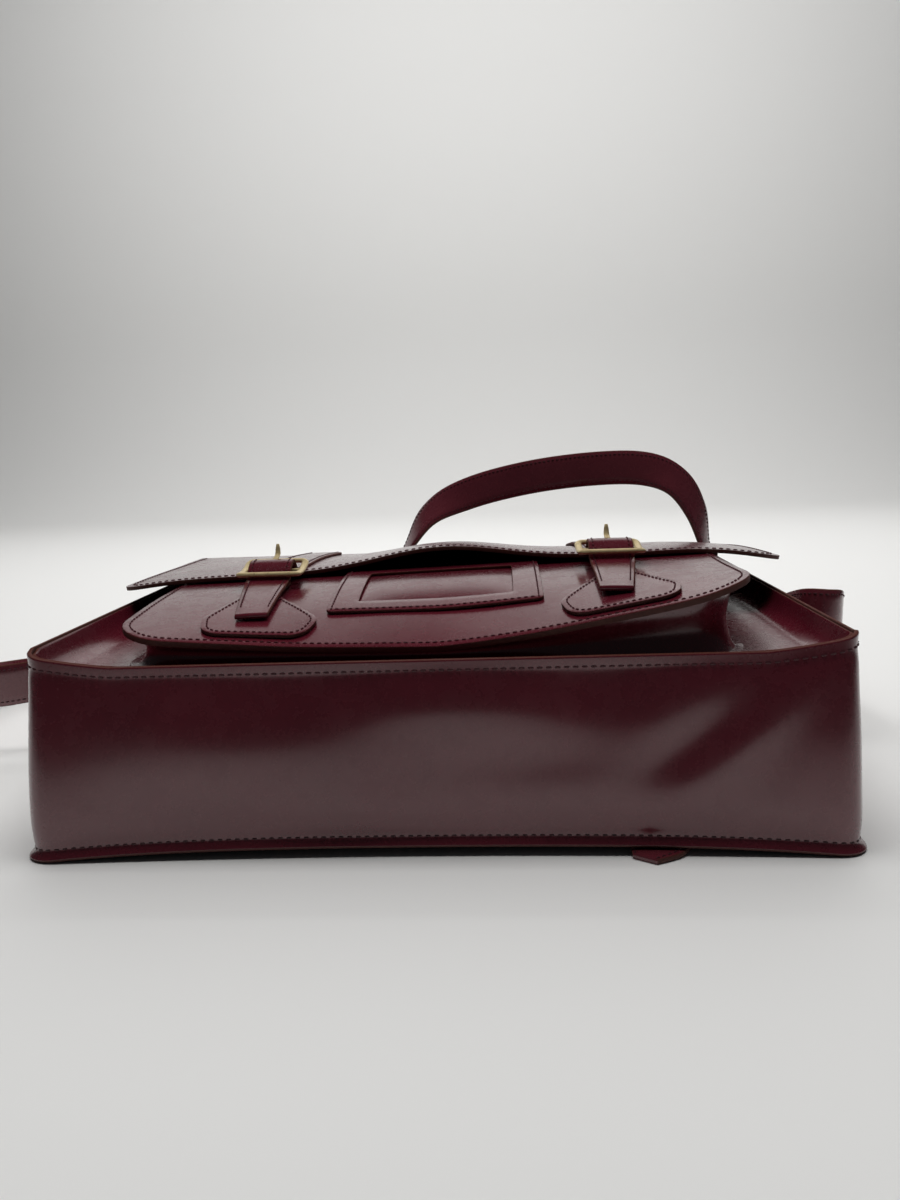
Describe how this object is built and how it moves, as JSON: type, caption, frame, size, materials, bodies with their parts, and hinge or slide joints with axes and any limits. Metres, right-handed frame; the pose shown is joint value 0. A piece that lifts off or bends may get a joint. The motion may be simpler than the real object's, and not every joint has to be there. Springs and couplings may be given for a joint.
{
  "type": "satchel bag",
  "caption": "Polished oxblood leather school satchel with a fold-over flap, two buckled straps, a front pocket with a name window and a shoulder strap, lying on its back.",
  "frame": {"origin": "centre of the back panel's outer face, with the bag lying on its back", "axes": "+X to the bag's right along its width, +Y from its bottom to its top, +Z from its back to its front"},
  "size_m": [0.5958, 0.3859, 0.1739],
  "materials": {
    "box_leather": "high-gloss polished box leather, oxblood",
    "strap_leather": "gloss bridle leather, oxblood",
    "brass": "antique brass, worn and slightly dulled"
  },
  "bodies": {
    "bag": {"gusset": "box_leather", "back_panel": "box_leather", "front_panel": "box_leather", "pocket_front": "box_leather", "pocket_gusset": "box_leather", "name_window_frame": "box_leather", "left_buckle_patch": "box_leather", "right_buckle_patch": "box_leather", "left_chape": "box_leather", "right_chape": "box_leather", "left_strap_tab": "strap_leather", "right_strap_tab": "strap_leather", "shoulder_strap": "strap_leather", "shoulder_strap_tail": "strap_leather", "shoulder_strap_short": "strap_leather"},
    "flap_spine": {"flap_spine": "box_leather"},
    "flap_front": {"flap_front": "box_leather", "left_closure_strap": "box_leather", "right_closure_strap": "box_leather", "left_strap_tail": "box_leather", "right_strap_tail": "box_leather"},
    "left_buckle": {"left_buckle_frame": "brass"},
    "left_prong": {"left_prong": "brass"},
    "right_buckle": {"right_buckle_frame": "brass"},
    "right_prong": {"right_prong": "brass"},
    "left_ring": {"left_ring": "brass"},
    "right_ring": {"right_ring": "brass"},
    "shoulder_buckle": {"shoulder_buckle_frame": "brass"},
    "shoulder_prong": {"shoulder_prong": "brass"},
    "strap_keeper": {"strap_keeper": "strap_leather"}
  },
  "joints": [
    {"name": "flap_spine_fold", "type": "hinge", "parent": "bag", "child": "flap_spine", "pos_m": [0, 0.1417, -0.0025], "axis": [-1, 0, 0], "range_deg": [0, 85], "deforming": ["shoulder_strap", "shoulder_strap_short", "shoulder_strap_tail"]},
    {"name": "flap_front_fold", "type": "hinge", "parent": "flap_spine", "child": "flap_front", "pos_m": [0, 0.1417, 0.0955], "axis": [-1, 0, 0], "range_deg": [0, 95], "deforming": ["left_strap_tail", "right_strap_tail"]},
    {"name": "left_buckle_tilt", "type": "hinge", "parent": "bag", "child": "left_buckle", "pos_m": [-0.0955, -0.037, 0.111], "axis": [1, 0, 0], "range_deg": [0, 12]},
    {"name": "left_prong_lift", "type": "hinge", "parent": "left_buckle", "child": "left_prong", "pos_m": [-0.0955, -0.037, 0.111], "axis": [1, 0, 0], "range_deg": [0, 90]},
    {"name": "right_buckle_tilt", "type": "hinge", "parent": "bag", "child": "right_buckle", "pos_m": [0.092, -0.037, 0.118], "axis": [1, 0, 0], "range_deg": [0, 12]},
    {"name": "right_prong_lift", "type": "hinge", "parent": "right_buckle", "child": "right_prong", "pos_m": [0.092, -0.037, 0.118], "axis": [1, 0, 0], "range_deg": [0, 90]},
    {"name": "left_ring_swing", "type": "hinge", "parent": "bag", "child": "left_ring", "pos_m": [-0.1955, 0.112, 0.042], "axis": [0, 0, -1], "range_deg": [-18, 90]},
    {"name": "right_ring_swing", "type": "hinge", "parent": "bag", "child": "right_ring", "pos_m": [0.1955, 0.112, 0.042], "axis": [0, 0, 1], "range_deg": [-18, 90]},
    {"name": "shoulder_buckle_swing", "type": "hinge", "parent": "bag", "child": "shoulder_buckle", "pos_m": [0.2345, 0.1442, 0.034], "axis": [0, 0, 1], "range_deg": [-10, 10]},
    {"name": "shoulder_prong_lift", "type": "hinge", "parent": "shoulder_buckle", "child": "shoulder_prong", "pos_m": [0.2345, 0.1442, 0.034], "axis": [0, 0, -1], "range_deg": [0, 100]},
    {"name": "strap_keeper_slide", "type": "slide", "parent": "bag", "child": "strap_keeper", "axis": [0.07, -0.9975, 0], "range_m": [-0.006, 0.02]}
  ]
}
